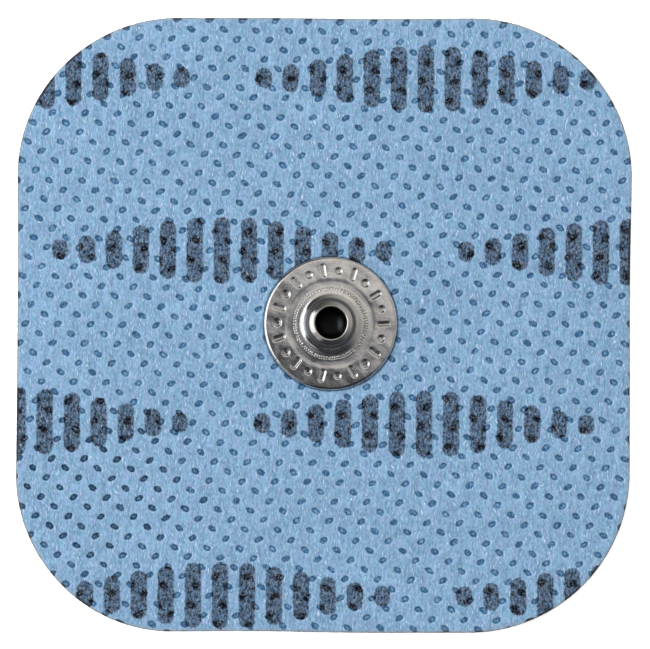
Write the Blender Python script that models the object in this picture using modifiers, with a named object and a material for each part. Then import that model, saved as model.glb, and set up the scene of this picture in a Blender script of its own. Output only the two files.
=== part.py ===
"""Snap electrode: a square self-adhesive stimulation pad with a press-stud terminal.

From the skin upwards the pad is a sheet of hydrogel, a carbon film that spreads the
current, and a bonded nonwoven backing cloth, all with one rounded-square outline.
Near the middle a press stud stands on the cloth. A semi-tubular rivet comes up from
under the film, passes through film, cloth and stud, and is rolled outwards over the
stud's mouth, so that it clamps the three together and carries the current. A small
round sticker lies between the rivet's flange and the gel.

Frame: metres, +Z up, origin at the middle of the pad's outline, on the gel's lower
(skin) face. +X and +Y run along the pad's straight sides.
"""
import math

import bmesh
import bpy
from mathutils import Vector

MM = 0.001

# ---------------------------------------------------------------- pad outline
PAD_SIDE = 50.0            # the cloth's side, mm
CORNER_R = 12.9            # corner radius of the cloth
CORNER_STEPS = 14          # straight pieces in each corner
FILM_INSET = 0.10          # the film's edge lies this far inside the cloth's
GEL_INSET = 0.20           # and the gel's edge this far

# ---------------------------------------------------------------- thicknesses
BOND = 0.02                # glue line between two layers, left open
GEL_T = 1.00
FILM_T = 0.12
CLOTH_T = 0.36

GEL_TOP = GEL_T
FILM_LOW = GEL_TOP + BOND
FILM_TOP = FILM_LOW + FILM_T
CLOTH_LOW = FILM_TOP + BOND
CLOTH_TOP = CLOTH_LOW + CLOTH_T
STUD_LOW = CLOTH_TOP + BOND      # the stud's rim stands here

# ---------------------------------------------------------------- press stud
SNAP_X, SNAP_Y = 0.53, 0.13      # the terminal sits a little off the middle
ROUND_STEPS = 56                 # straight pieces round every turned shape
HOLE_R = 1.50                    # punched through film and cloth
FLANGE_TOP = 0.45                # the stud's flat flange band, above its rim
FLANGE_IN_R = 3.75               # where that band starts
RIM_BEND_R = 5.12                # and where the rim starts to bend down
SHANK_R = 1.42                   # the rivet's tube, outside
BORE_R = 1.28                    # and inside
RIVET_FLANGE_R = 4.00
RIVET_FLANGE_LOW = 0.70
RIVET_FLANGE_TOP = 1.00

# ---------------------------------------------------------------- sticker
STICKER_T = 0.10
STICKER_R = 7.00
STICKER_LOW = 0.58               # its middle, pushed down by the rivet's flange
STICKER_RIM_LOW = GEL_TOP - STICKER_T


# ---------------------------------------------------------------- helpers
def clear_scene():
    for obj in list(bpy.data.objects):
        bpy.data.objects.remove(obj, do_unlink=True)
    for col in list(bpy.data.collections):
        bpy.data.collections.remove(col)


def new_collection(name):
    col = bpy.data.collections.new(name)
    bpy.context.scene.collection.children.link(col)
    return col


def material(name, colour, roughness, metallic):
    mat = bpy.data.materials.new(name)
    mat.use_nodes = True
    bsdf = mat.node_tree.nodes["Principled BSDF"]
    bsdf.inputs["Base Color"].default_value = (*colour, 1.0)
    bsdf.inputs["Roughness"].default_value = roughness
    bsdf.inputs["Metallic"].default_value = metallic
    mat.diffuse_color = (*colour, 1.0)
    return mat


def rounded_square(side, radius):
    """Anticlockwise outline of a rounded square about the origin, in mm."""
    points = []
    inner = side / 2 - radius
    for k, (cx, cy) in enumerate(((inner, inner), (-inner, inner), (-inner, -inner), (inner, -inner))):
        for i in range(CORNER_STEPS + 1):
            a = math.radians(90 * k + 90 * i / CORNER_STEPS)
            points.append((cx + radius * math.cos(a), cy + radius * math.sin(a)))
    return points


def circle(cx, cy, radius, steps):
    return [(cx + radius * math.cos(2 * math.pi * i / steps),
             cy + radius * math.sin(2 * math.pi * i / steps)) for i in range(steps)]


def add_spline(curve, points):
    spline = curve.splines.new("POLY")
    spline.points.add(len(points) - 1)
    for p, (x, y) in zip(spline.points, points):
        p.co = (x * MM, y * MM, 0.0, 1.0)
    spline.use_cyclic_u = True


def plate(name, outlines, low, top, mat, col):
    """A flat sheet between two heights: the first outline is its edge, others are holes."""
    curve = bpy.data.curves.new(name + "_outline", "CURVE")
    curve.dimensions = "2D"
    curve.fill_mode = "BOTH"
    curve.extrude = (top - low) / 2 * MM
    for points in outlines:
        add_spline(curve, points)
    guide = bpy.data.objects.new(name + "_outline", curve)
    guide.location.z = (low + top) / 2 * MM
    col.objects.link(guide)
    bpy.context.view_layer.update()

    evaluated = guide.evaluated_get(bpy.context.evaluated_depsgraph_get())
    mesh = bpy.data.meshes.new_from_object(evaluated)
    mesh.name = name
    bm = bmesh.new()
    bm.from_mesh(mesh)
    bmesh.ops.remove_doubles(bm, verts=bm.verts, dist=1e-7)
    bmesh.ops.recalc_face_normals(bm, faces=bm.faces)
    bm.to_mesh(mesh)
    bm.free()
    obj = bpy.data.objects.new(name, mesh)
    obj.matrix_world = guide.matrix_world.copy()
    col.objects.link(obj)
    bpy.data.objects.remove(guide, do_unlink=True)
    bpy.data.curves.remove(curve)
    obj.data.materials.clear()
    obj.data.materials.append(mat)
    return obj


def turned(name, profile, closed, mat, col, cutter=False):
    """A turned piece about the stud's axis.

    profile is (radius, height) in mm, running down the outer side. A profile that is
    not closed starts and ends on the axis.
    """
    mesh = bpy.data.meshes.new(name)
    bm = bmesh.new()
    verts = [bm.verts.new(Vector((r * MM, 0.0, z * MM))) for r, z in profile]
    for a, b in zip(verts, verts[1:]):
        bm.edges.new((a, b))
    if closed:
        bm.edges.new((verts[-1], verts[0]))
    bm.to_mesh(mesh)
    bm.free()
    obj = bpy.data.objects.new(name, mesh)
    obj.location = (SNAP_X * MM, SNAP_Y * MM, 0.0)
    col.objects.link(obj)

    screw = obj.modifiers.new("turn", "SCREW")
    screw.axis = "Z"
    screw.angle = 2 * math.pi
    screw.steps = ROUND_STEPS
    screw.render_steps = ROUND_STEPS
    screw.screw_offset = 0.0
    screw.use_merge_vertices = True
    screw.merge_threshold = 1e-7
    screw.use_smooth_shade = True
    if mat is not None:
        mesh.materials.append(mat)
    if cutter:
        obj.hide_render = True
        obj.display_type = "WIRE"
    return obj


def arc(cx, cz, radius, start, end, steps):
    """Points on an arc in the (radius, height) plane, angles in degrees."""
    return [(cx + radius * math.cos(math.radians(start + (end - start) * i / steps)),
             cz + radius * math.sin(math.radians(start + (end - start) * i / steps)))
            for i in range(steps + 1)]


def lifted(profile, dz):
    return [(r, z + dz) for r, z in profile]


# ---------------------------------------------------------------- model
clear_scene()
parts = new_collection("snap_electrode")
cutters = new_collection("cutters")

gel_mat = material("hydrogel", (0.72, 0.76, 0.74), 0.12, 0.0)
film_mat = material("carbon_film", (0.020, 0.020, 0.022), 0.45, 0.0)
cloth_mat = material("blue_nonwoven", (0.25, 0.42, 0.62), 0.85, 0.0)
plate_mat = material("plated_steel", (0.56, 0.54, 0.51), 0.24, 1.0)
sticker_mat = material("sticker", (0.80, 0.80, 0.78), 0.50, 0.0)

rivet_hole = circle(SNAP_X, SNAP_Y, HOLE_R, ROUND_STEPS)

# The backing cloth and the conductive film, with the rivet's hole in each.
plate("top_fabric", [rounded_square(PAD_SIDE, CORNER_R), rivet_hole],
      CLOTH_LOW, CLOTH_TOP, cloth_mat, parts)
plate("carbon_film", [rounded_square(PAD_SIDE - 2 * FILM_INSET, CORNER_R - FILM_INSET), rivet_hole],
      FILM_LOW, FILM_TOP, film_mat, parts)

# The gel, with a shallow pocket on top that takes the sticker over the rivet's flange.
gel = plate("hydrogel", [rounded_square(PAD_SIDE - 2 * GEL_INSET, CORNER_R - GEL_INSET)],
            0.0, GEL_TOP, gel_mat, parts)
pocket_profile = [
    (0.0, GEL_TOP + 0.5),
    (STICKER_R + 0.05, GEL_TOP + 0.5),
    (STICKER_R + 0.05, STICKER_RIM_LOW - BOND),
    (5.00, STICKER_RIM_LOW - BOND),
    (4.40, STICKER_LOW - BOND),
    (0.0, STICKER_LOW - BOND),
]
pocket = turned("gel_pocket", pocket_profile, False, None, cutters, cutter=True)
cut = gel.modifiers.new("pocket", "BOOLEAN")
cut.operation = "DIFFERENCE"
cut.solver = "EXACT"
cut.object = pocket

# The sticker: a flat ring glued to the film, its middle pushed down by the rivet's flange.
sticker_profile = [
    (0.0, STICKER_LOW + STICKER_T),
    (4.15, STICKER_LOW + STICKER_T),
    (4.75, GEL_TOP),
    (STICKER_R, GEL_TOP),
    (STICKER_R, STICKER_RIM_LOW),
    (4.95, STICKER_RIM_LOW),
    (4.35, STICKER_LOW),
    (0.0, STICKER_LOW),
]
turned("insulating_disc", sticker_profile, False, sticker_mat, parts)

# The stud: one pressing of thin sheet. Outer side from the mouth down to the rim.
stud_outer = (
    [(1.50, 3.09), (1.57, 3.13), (1.78, 3.13)]                     # mouth, under the rolled lip
    + [(1.86, 3.05), (1.92, 2.93), (1.945, 2.78)]                  # the head's round side
    + [(1.915, 2.62), (1.82, 2.44)]
    + [(1.69, 2.16), (1.64, 1.70)]                                 # neck
    + arc(1.96, 1.39, 0.32, 176, 262, 4)                           # foot of the neck
    + [(2.08, 1.045), (2.34, 0.880), (2.62, 0.69)]                 # cone of the shoulder
    + [(3.10, 0.53), (3.45, 0.465), (FLANGE_IN_R, FLANGE_TOP)]     # down to the flange
    + [(RIM_BEND_R, FLANGE_TOP)]                                   # flat band that the lead's cap lands on
    + arc(RIM_BEND_R, FLANGE_TOP - 0.33, 0.33, 90, 0, 5)[1:]       # rolled-down rim
    + [(RIM_BEND_R + 0.33, 0.0)]
)
stud_inner = [
    (5.22, 0.0),
    (5.17, 0.13), (5.02, 0.18), (3.75, 0.18),
    (3.42, 0.20), (3.05, 0.285),
    (2.62, 0.44), (2.25, 0.69), (2.00, 0.78),
    (1.74, 0.86), (1.55, 1.02), (1.47, 1.25),
    (1.46, 2.05), (1.64, 2.38), (1.69, 2.62),
    (1.66, 2.82), (1.50, 2.99),
]
turned("snap_stud", lifted(stud_outer + stud_inner, STUD_LOW), True, plate_mat, parts)

# The rivet: rolled lip, tube, blind rounded bore and the flange under the film.
# Heights above the stud's rim first, then the flange at its own height.
rivet_profile = (
    lifted(
        arc(0.0, 1.40, BORE_R, 270, 360, 5)                        # round bottom of the bore
        + arc(1.415, 3.305, 0.135, 180, 90, 4)                     # over the top of the lip
        + [(1.50, 3.42), (1.62, 3.36), (1.74, 3.28), (1.80, 3.225)]    # and down its flared outside
        + [(1.795, 3.175), (1.58, 3.160), (1.47, 3.12), (SHANK_R, 3.02)],
        STUD_LOW)
    + [(SHANK_R, RIVET_FLANGE_TOP), (RIVET_FLANGE_R - 0.10, RIVET_FLANGE_TOP),
       (RIVET_FLANGE_R, RIVET_FLANGE_TOP - 0.08), (RIVET_FLANGE_R, RIVET_FLANGE_LOW + 0.08),
       (RIVET_FLANGE_R - 0.10, RIVET_FLANGE_LOW), (0.0, RIVET_FLANGE_LOW)]
)
turned("snap_eyelet", rivet_profile, False, plate_mat, parts)
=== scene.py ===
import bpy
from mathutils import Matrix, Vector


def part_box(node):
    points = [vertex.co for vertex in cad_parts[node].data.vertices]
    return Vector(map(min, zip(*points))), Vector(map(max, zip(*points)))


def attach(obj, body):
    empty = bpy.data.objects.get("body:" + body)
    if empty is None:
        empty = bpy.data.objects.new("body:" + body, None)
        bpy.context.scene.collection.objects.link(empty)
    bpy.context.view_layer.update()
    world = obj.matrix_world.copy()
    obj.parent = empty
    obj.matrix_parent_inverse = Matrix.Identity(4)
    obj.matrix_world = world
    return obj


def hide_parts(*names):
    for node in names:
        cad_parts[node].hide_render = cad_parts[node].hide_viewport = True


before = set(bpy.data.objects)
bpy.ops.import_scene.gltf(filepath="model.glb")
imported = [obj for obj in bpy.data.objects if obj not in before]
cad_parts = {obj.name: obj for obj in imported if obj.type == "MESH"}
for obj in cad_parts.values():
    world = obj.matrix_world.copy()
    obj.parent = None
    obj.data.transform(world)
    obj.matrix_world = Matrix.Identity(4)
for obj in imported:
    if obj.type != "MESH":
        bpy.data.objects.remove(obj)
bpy.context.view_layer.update()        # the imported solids: one body, "root"

import math
import random

import bmesh
import bpy
import numpy as np
from mathutils import Matrix, Vector, geometry, noise

random.seed(41)
MM = 0.001

# ------------------------------------------------------------------ sizes, in mm
SIDE = 50.0
CORNERS = (12.79, 12.96, 12.72, 13.00)     # radii: back right, back left, front left, front right
stud_low, stud_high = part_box("snap_stud")
cloth_low, cloth_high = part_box("top_fabric")
film_low, film_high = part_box("carbon_film")
gel_low, gel_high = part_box("hydrogel")
disc_low, disc_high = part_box("insulating_disc")
post_low, post_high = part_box("snap_eyelet")
CX = (stud_low.x + stud_high.x) / 2 / MM   # the stud's axis
CY = (stud_low.y + stud_high.y) / 2 / MM
STUD_Z = stud_low.z / MM
CLOTH_LOW, CLOTH_TOP = cloth_low.z / MM, cloth_high.z / MM
FILM_LOW, FILM_TOP = film_low.z / MM, film_high.z / MM
GEL_TOP = gel_high.z / MM
DISC_LOW, DISC_TOP = disc_low.z / MM, disc_high.z / MM
POST_LOW = post_low.z / MM

# Bond points: a slanted lattice whose rows lean one way and the other by turns.
STEP_A = (2.6540, -0.0344)
STEP_B = (1.1092, -0.7965)
FIRST = (-14.446, 11.595)
POINT_LONG, POINT_WIDE = 0.329, 0.221      # half axes of one oval point
POINT_LEAN = (-31.7, 30.0)                 # degrees, even and odd rows
POINT_DEEP = 0.085

# How far the worn knife wanders from the outline: (waves round the pad, cosine, sine), in mm.
WANDER = ((0, 0.013, 0.0), (2, -0.015, 0.012), (3, -0.009, 0.008), (4, 0.023, -0.001), (5, 0.010, -0.001),
          (6, -0.012, -0.007), (7, -0.005, -0.002), (8, 0.008, 0.016), (9, -0.004, -0.010), (10, 0.002, -0.012))


# ------------------------------------------------------------------ mesh helpers
def new_object(name, verts, faces, smooth=True, sharp=40):
    """verts in mm."""
    mesh = bpy.data.meshes.new(name)
    mesh.from_pydata([(x * MM, y * MM, z * MM) for x, y, z in verts], [], faces)
    mesh.validate(clean_customdata=False)
    mesh.update()
    obj = bpy.data.objects.new(name, mesh)
    bpy.context.scene.collection.objects.link(obj)
    if smooth:
        mesh.shade_smooth()
        mesh.set_sharp_from_angle(angle=math.radians(sharp))
    return obj


def point_values(obj, name, values):
    att = obj.data.attributes.new(name, "FLOAT", "POINT")
    att.data.foreach_set("value", np.asarray(values, np.float32))


def outline(inset, spacing):
    """Anticlockwise points of the die-cut outline, pulled in by inset, with each point's outward normal.

    The straight sides are drawn in a little at their middles and stand out a little
    where they meet the corners, as the knife leaves them.
    """
    half = SIDE / 2
    points, normals = [], []
    for k in range(4):
        turn = math.radians(90 * k)
        c, s = math.cos(turn), math.sin(turn)
        radius = CORNERS[k]
        # the corner, in the first quadrant, then the side that follows it
        count = max(6, int(radius * math.pi / 2 / spacing))
        for i in range(count):
            a = math.pi / 2 * i / count
            x = half - radius + radius * math.cos(a)
            y = half - radius + radius * math.sin(a)
            out = 0.035 * abs(math.cos(2 * a)) ** 2 - inset
            n = (math.cos(a), math.sin(a))
            x, y = x + n[0] * out, y + n[1] * out
            points.append((x * c - y * s, x * s + y * c))
            normals.append((n[0] * c - n[1] * s, n[0] * s + n[1] * c))
        following = CORNERS[(k + 1) % 4]
        start, end = half - radius, -(half - following)
        count = max(4, int((start - end) / spacing))
        for i in range(count):
            t = i / count
            x = start + (end - start) * t
            u = 2 * t - 1
            out = 0.035 - 0.083 * (1 - u * u) ** 1.2 - inset
            y = half + out
            points.append((x * c - y * s, x * s + y * c))
            normals.append((-s, c))
    for i, ((x, y), (nx, ny)) in enumerate(zip(points, normals)):
        a = math.atan2(y, x)
        out = sum(u * math.cos(j * a) + v * math.sin(j * a) for j, u, v in WANDER)
        points[i] = (x + nx * out, y + ny * out)
    return points, normals


def circle(radius, count, z=None, phase=0.0):
    ring = [(CX + radius * math.cos(2 * math.pi * (i + phase) / count),
             CY + radius * math.sin(2 * math.pi * (i + phase) / count)) for i in range(count)]
    return ring if z is None else [(x, y, z) for x, y in ring]


def inside(polygon, x, y):
    """Even-odd test of many points against one polygon."""
    px, py = np.array([p[0] for p in polygon]), np.array([p[1] for p in polygon])
    qx, qy = np.roll(px, -1), np.roll(py, -1)
    x, y = np.asarray(x)[:, None], np.asarray(y)[:, None]
    with np.errstate(divide="ignore", invalid="ignore"):
        crosses = ((py > y) != (qy > y)) & (x < (qx - px) * (y - py) / (qy - py) + px)
    return crosses.sum(1) % 2 == 1


def fill_sheet(points, outer, holes):
    """Delaunay triangles over points (x, y), cut to the outer ring and out of the holes.

    outer and holes are lists of indices into points, each a closed ring.
    """
    edges = []
    for ring in [outer] + holes:
        edges += [(ring[i], ring[(i + 1) % len(ring)]) for i in range(len(ring))]
    made, _, faces, origin, _, _ = geometry.delaunay_2d_cdt(
        [Vector((x, y)) for x, y in points], edges, [], 0, 1e-9)
    back = [o[0] if o else -1 for o in origin]
    ring_of = {}
    for n, ring in enumerate([outer] + holes):
        for i in ring:
            ring_of[i] = n
    kept, doubtful = [], []
    for f in faces:
        t = tuple(back[i] for i in f)
        rings = {ring_of.get(i, -1) for i in t}
        if len(rings) == 1 and rings != {-1}:
            doubtful.append(t)
        else:
            kept.append(t)
    if doubtful:
        cx = [sum(points[i][0] for i in t) / 3 for t in doubtful]
        cy = [sum(points[i][1] for i in t) / 3 for t in doubtful]
        ok = inside([points[i] for i in outer], cx, cy)
        for ring in holes:
            ok &= ~inside([points[i] for i in ring], cx, cy)
        kept += [t for t, good in zip(doubtful, ok) if good]
    turned_up = []
    for a, b, c in kept:
        (ax, ay), (bx, by), (cx_, cy_) = points[a], points[b], points[c]
        up = (bx - ax) * (cy_ - ay) - (by - ay) * (cx_ - ax) > 0
        turned_up.append((a, b, c) if up else (a, c, b))
    return turned_up


def spline_points(controls, per_span):
    """A smooth curve through (r, z) controls (centripetal Catmull-Rom)."""
    p = [np.array(c, float) for c in controls]
    p = [2 * p[0] - p[1]] + p + [2 * p[-1] - p[-2]]
    out = []
    for i in range(1, len(p) - 2):
        p0, p1, p2, p3 = p[i - 1:i + 3]
        t0 = 0.0
        t1 = t0 + np.linalg.norm(p1 - p0) ** 0.5
        t2 = t1 + np.linalg.norm(p2 - p1) ** 0.5
        t3 = t2 + np.linalg.norm(p3 - p2) ** 0.5
        for k in range(per_span):
            t = t1 + (t2 - t1) * k / per_span
            a1 = (t1 - t) / (t1 - t0) * p0 + (t - t0) / (t1 - t0) * p1
            a2 = (t2 - t) / (t2 - t1) * p1 + (t - t1) / (t2 - t1) * p2
            a3 = (t3 - t) / (t3 - t2) * p2 + (t - t2) / (t3 - t2) * p3
            b1 = (t2 - t) / (t2 - t0) * a1 + (t - t0) / (t2 - t0) * a2
            b2 = (t3 - t) / (t3 - t1) * a2 + (t - t1) / (t3 - t1) * a3
            c = (t2 - t) / (t2 - t1) * b1 + (t - t1) / (t2 - t1) * b2
            out.append((float(c[0]), float(c[1])))
    out.append(tuple(float(v) for v in p[-2]))
    return out


def arc(cr, cz, radius, start, end, steps):
    return [(cr + radius * math.cos(math.radians(start + (end - start) * i / steps)),
             cz + radius * math.sin(math.radians(start + (end - start) * i / steps)))
            for i in range(steps + 1)]


def turned(name, profile, steps, closed, shape=None, sharp=50):
    """Turns a (r, z) profile, which runs down its outer side, about the stud's axis.

    An open profile starts and ends on the axis. shape(r, angle, z, i) moves a point.
    """
    verts, faces, rings = [], [], []
    for i, (r, z) in enumerate(profile):
        if r < 1e-6:
            rings.append([len(verts)])
            verts.append((CX, CY, z))
            continue
        ring = []
        for k in range(steps):
            a = 2 * math.pi * k / steps
            rr, zz = (r, z) if shape is None else shape(r, a, z, i)
            ring.append(len(verts))
            verts.append((CX + rr * math.cos(a), CY + rr * math.sin(a), zz))
        rings.append(ring)
    pairs = list(zip(rings, rings[1:]))
    if closed:
        pairs.append((rings[-1], rings[0]))
    for top, low in pairs:
        for k in range(steps):
            n = (k + 1) % steps
            if len(top) == 1:
                faces.append((top[0], low[k], low[n]))
            elif len(low) == 1:
                faces.append((top[k], low[0], top[n]))
            else:
                faces.append((top[k], low[k], low[n], top[n]))
    return new_object(name, verts, faces, sharp=sharp)


# ------------------------------------------------------------------ material helper
class Paint:
    """One Principled material, with short calls for its nodes."""

    def __init__(self, name, settings):
        self.mat = bpy.data.materials.new(name)
        self.mat.use_nodes = True
        self.tree = self.mat.node_tree
        self.bsdf = self.tree.nodes["Principled BSDF"]
        for key, value in settings.items():
            self.bsdf.inputs[key].default_value = value
        coords = self.tree.nodes.new("ShaderNodeTexCoord")
        self.place = self.vector("SCALE", coords.outputs["Object"], scale=1 / MM)   # in mm

    def put(self, socket, value):
        if hasattr(value, "is_output"):
            self.tree.links.new(value, socket)
        else:
            socket.default_value = value

    def math(self, op, a, b=0.0, c=0.0, clamp=False):
        n = self.tree.nodes.new("ShaderNodeMath")
        n.operation, n.use_clamp = op, clamp
        for socket, value in zip(n.inputs, (a, b, c)):
            self.put(socket, value)
        return n.outputs[0]

    def add(self, a, b):
        return self.math("ADD", a, b)

    def sub(self, a, b):
        return self.math("SUBTRACT", a, b)

    def mul(self, a, b):
        return self.math("MULTIPLY", a, b)

    def vector(self, op, a, b=None, scale=None):
        n = self.tree.nodes.new("ShaderNodeVectorMath")
        n.operation = op
        self.put(n.inputs[0], a)
        if b is not None:
            self.put(n.inputs[1], b)
        if scale is not None:
            self.put(n.inputs["Scale"], scale)
        return n.outputs["Value"] if op in ("LENGTH", "DISTANCE", "DOT_PRODUCT") else n.outputs[0]

    def split(self, v):
        n = self.tree.nodes.new("ShaderNodeSeparateXYZ")
        self.put(n.inputs[0], v)
        return n.outputs[0], n.outputs[1], n.outputs[2]

    def join(self, x, y, z):
        n = self.tree.nodes.new("ShaderNodeCombineXYZ")
        for socket, value in zip(n.inputs, (x, y, z)):
            self.put(socket, value)
        return n.outputs[0]

    def mapped(self, scale=(1, 1, 1), turn=(0, 0, 0), move=(0, 0, 0), vector=None):
        n = self.tree.nodes.new("ShaderNodeMapping")
        self.put(n.inputs["Vector"], self.place if vector is None else vector)
        n.inputs["Location"].default_value = move
        n.inputs["Rotation"].default_value = [math.radians(t) for t in turn]
        n.inputs["Scale"].default_value = scale
        return n.outputs[0]

    def streaked(self, scale, lean=0.0, move=(0.0, 0.0, 0.0), vector=None):
        """Coordinates stretched along a direction that leans from front to back."""
        leant = self.mapped(turn=(0, 0, lean), vector=vector)
        return self.mapped(scale, move=move, vector=leant)

    def strokes(self, scale, lean, move, thin, thick, rare, vector=None, shaded=False):
        """Short separate strokes, each with a strength of its own; shaded adds the dark lines beside them."""
        n = self.tree.nodes.new("ShaderNodeTexVoronoi")
        n.voronoi_dimensions = "2D"
        self.put(n.inputs["Vector"], self.streaked((scale[0], scale[1], 0.0), lean, move, vector))
        n.inputs["Scale"].default_value = 1.0
        own = self.math("FRACT", self.mul(n.outputs["Color"], 7.31))
        own = self.ramp(own, rare, 1.0, 0.0, 1.0, "LINEAR")
        core = self.mul(self.ramp(n.outputs["Distance"], thin, thick, 1.0, 0.0), own)
        return (core, self.mul(self.peak(n.outputs["Distance"], thick + 0.10, 0.12), own)) if shaded else core

    def noise(self, vector, scale=1.0, detail=2.0, rough=0.5, distortion=0.0):
        n = self.tree.nodes.new("ShaderNodeTexNoise")
        self.put(n.inputs["Vector"], vector)
        n.inputs["Scale"].default_value = scale
        n.inputs["Detail"].default_value = detail
        n.inputs["Roughness"].default_value = rough
        n.inputs["Distortion"].default_value = distortion
        return n.outputs["Fac"]

    def cells(self, vector, scale=1.0, feature="F1", output="Distance", randomness=1.0):
        n = self.tree.nodes.new("ShaderNodeTexVoronoi")
        n.feature = feature
        self.put(n.inputs["Vector"], vector)
        n.inputs["Scale"].default_value = scale
        n.inputs["Randomness"].default_value = randomness
        return n.outputs[output]

    def ramp(self, value, low, high, out_low=0.0, out_high=1.0, kind="SMOOTHSTEP"):
        n = self.tree.nodes.new("ShaderNodeMapRange")
        n.interpolation_type = kind
        for key, v in (("Value", value), ("From Min", low), ("From Max", high),
                       ("To Min", out_low), ("To Max", out_high)):
            self.put(n.inputs[key], v)
        return n.outputs[0]

    def peak(self, value, centre, width):
        """1 at centre, falling smoothly to 0 at width either side."""
        off = self.math("ABSOLUTE", self.sub(value, centre))
        return self.ramp(off, 0.0, width, 1.0, 0.0)

    def colour(self, fac, a, b, blend="MIX"):
        n = self.tree.nodes.new("ShaderNodeMix")
        n.data_type, n.blend_type, n.clamp_result = "RGBA", blend, False
        self.put(n.inputs[0], fac)
        self.put(n.inputs[6], (*a, 1.0) if isinstance(a, tuple) else a)
        self.put(n.inputs[7], (*b, 1.0) if isinstance(b, tuple) else b)
        return n.outputs[2]

    def scaled(self, colour, by):
        """colour times a grey number."""
        return self.vector("SCALE", colour, scale=by)

    def given(self, name):
        n = self.tree.nodes.new("ShaderNodeAttribute")
        n.attribute_name = name
        return n.outputs["Fac"]

    def bump(self, height, distance, strength=1.0, under=None):
        n = self.tree.nodes.new("ShaderNodeBump")
        n.inputs["Strength"].default_value = strength
        n.inputs["Distance"].default_value = distance
        self.put(n.inputs["Height"], height)
        if under is not None:
            self.put(n.inputs["Normal"], under)
        return n.outputs[0]

    def wear(self, obj):
        obj.data.materials.clear()
        obj.data.materials.append(self.mat)


# ------------------------------------------------------------------ cloth cover
def bond_points():
    """(x, y, lean, long, wide, shade) of every bond point on the cloth, in mm."""
    edge, _ = outline(0.0, 0.4)
    found = []
    for j in range(-36, 68):
        for i in range(-40, 44):
            x = FIRST[0] + i * STEP_A[0] + j * STEP_B[0]
            y = FIRST[1] + i * STEP_A[1] + j * STEP_B[1]
            if abs(x) > 25.5 or abs(y) > 25.5:
                continue
            # the cloth was pulled a little unevenly before it was stuck down
            x += 0.022 * math.sin(0.31 * y + 1.0) + 0.012 * math.sin(0.47 * x - 0.2 * y)
            y += 0.016 * math.sin(0.28 * x + 0.4) + 0.010 * math.sin(0.41 * y + 0.3 * x)
            found.append([x + random.gauss(0, 0.018), y + random.gauss(0, 0.018),
                          POINT_LEAN[j % 2] + random.gauss(0, 3.5),
                          POINT_LONG * (1 + random.gauss(0, 0.045)),
                          POINT_WIDE * (1 + random.gauss(0, 0.05)),
                          random.random()])
    ex, ey = np.array([e[0] for e in edge]), np.array([e[1] for e in edge])
    keep = inside(edge, [f[0] for f in found], [f[1] for f in found])
    return [f for f, k in zip(found, keep) if k or np.hypot(ex - f[0], ey - f[1]).min() < 0.28]


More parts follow.
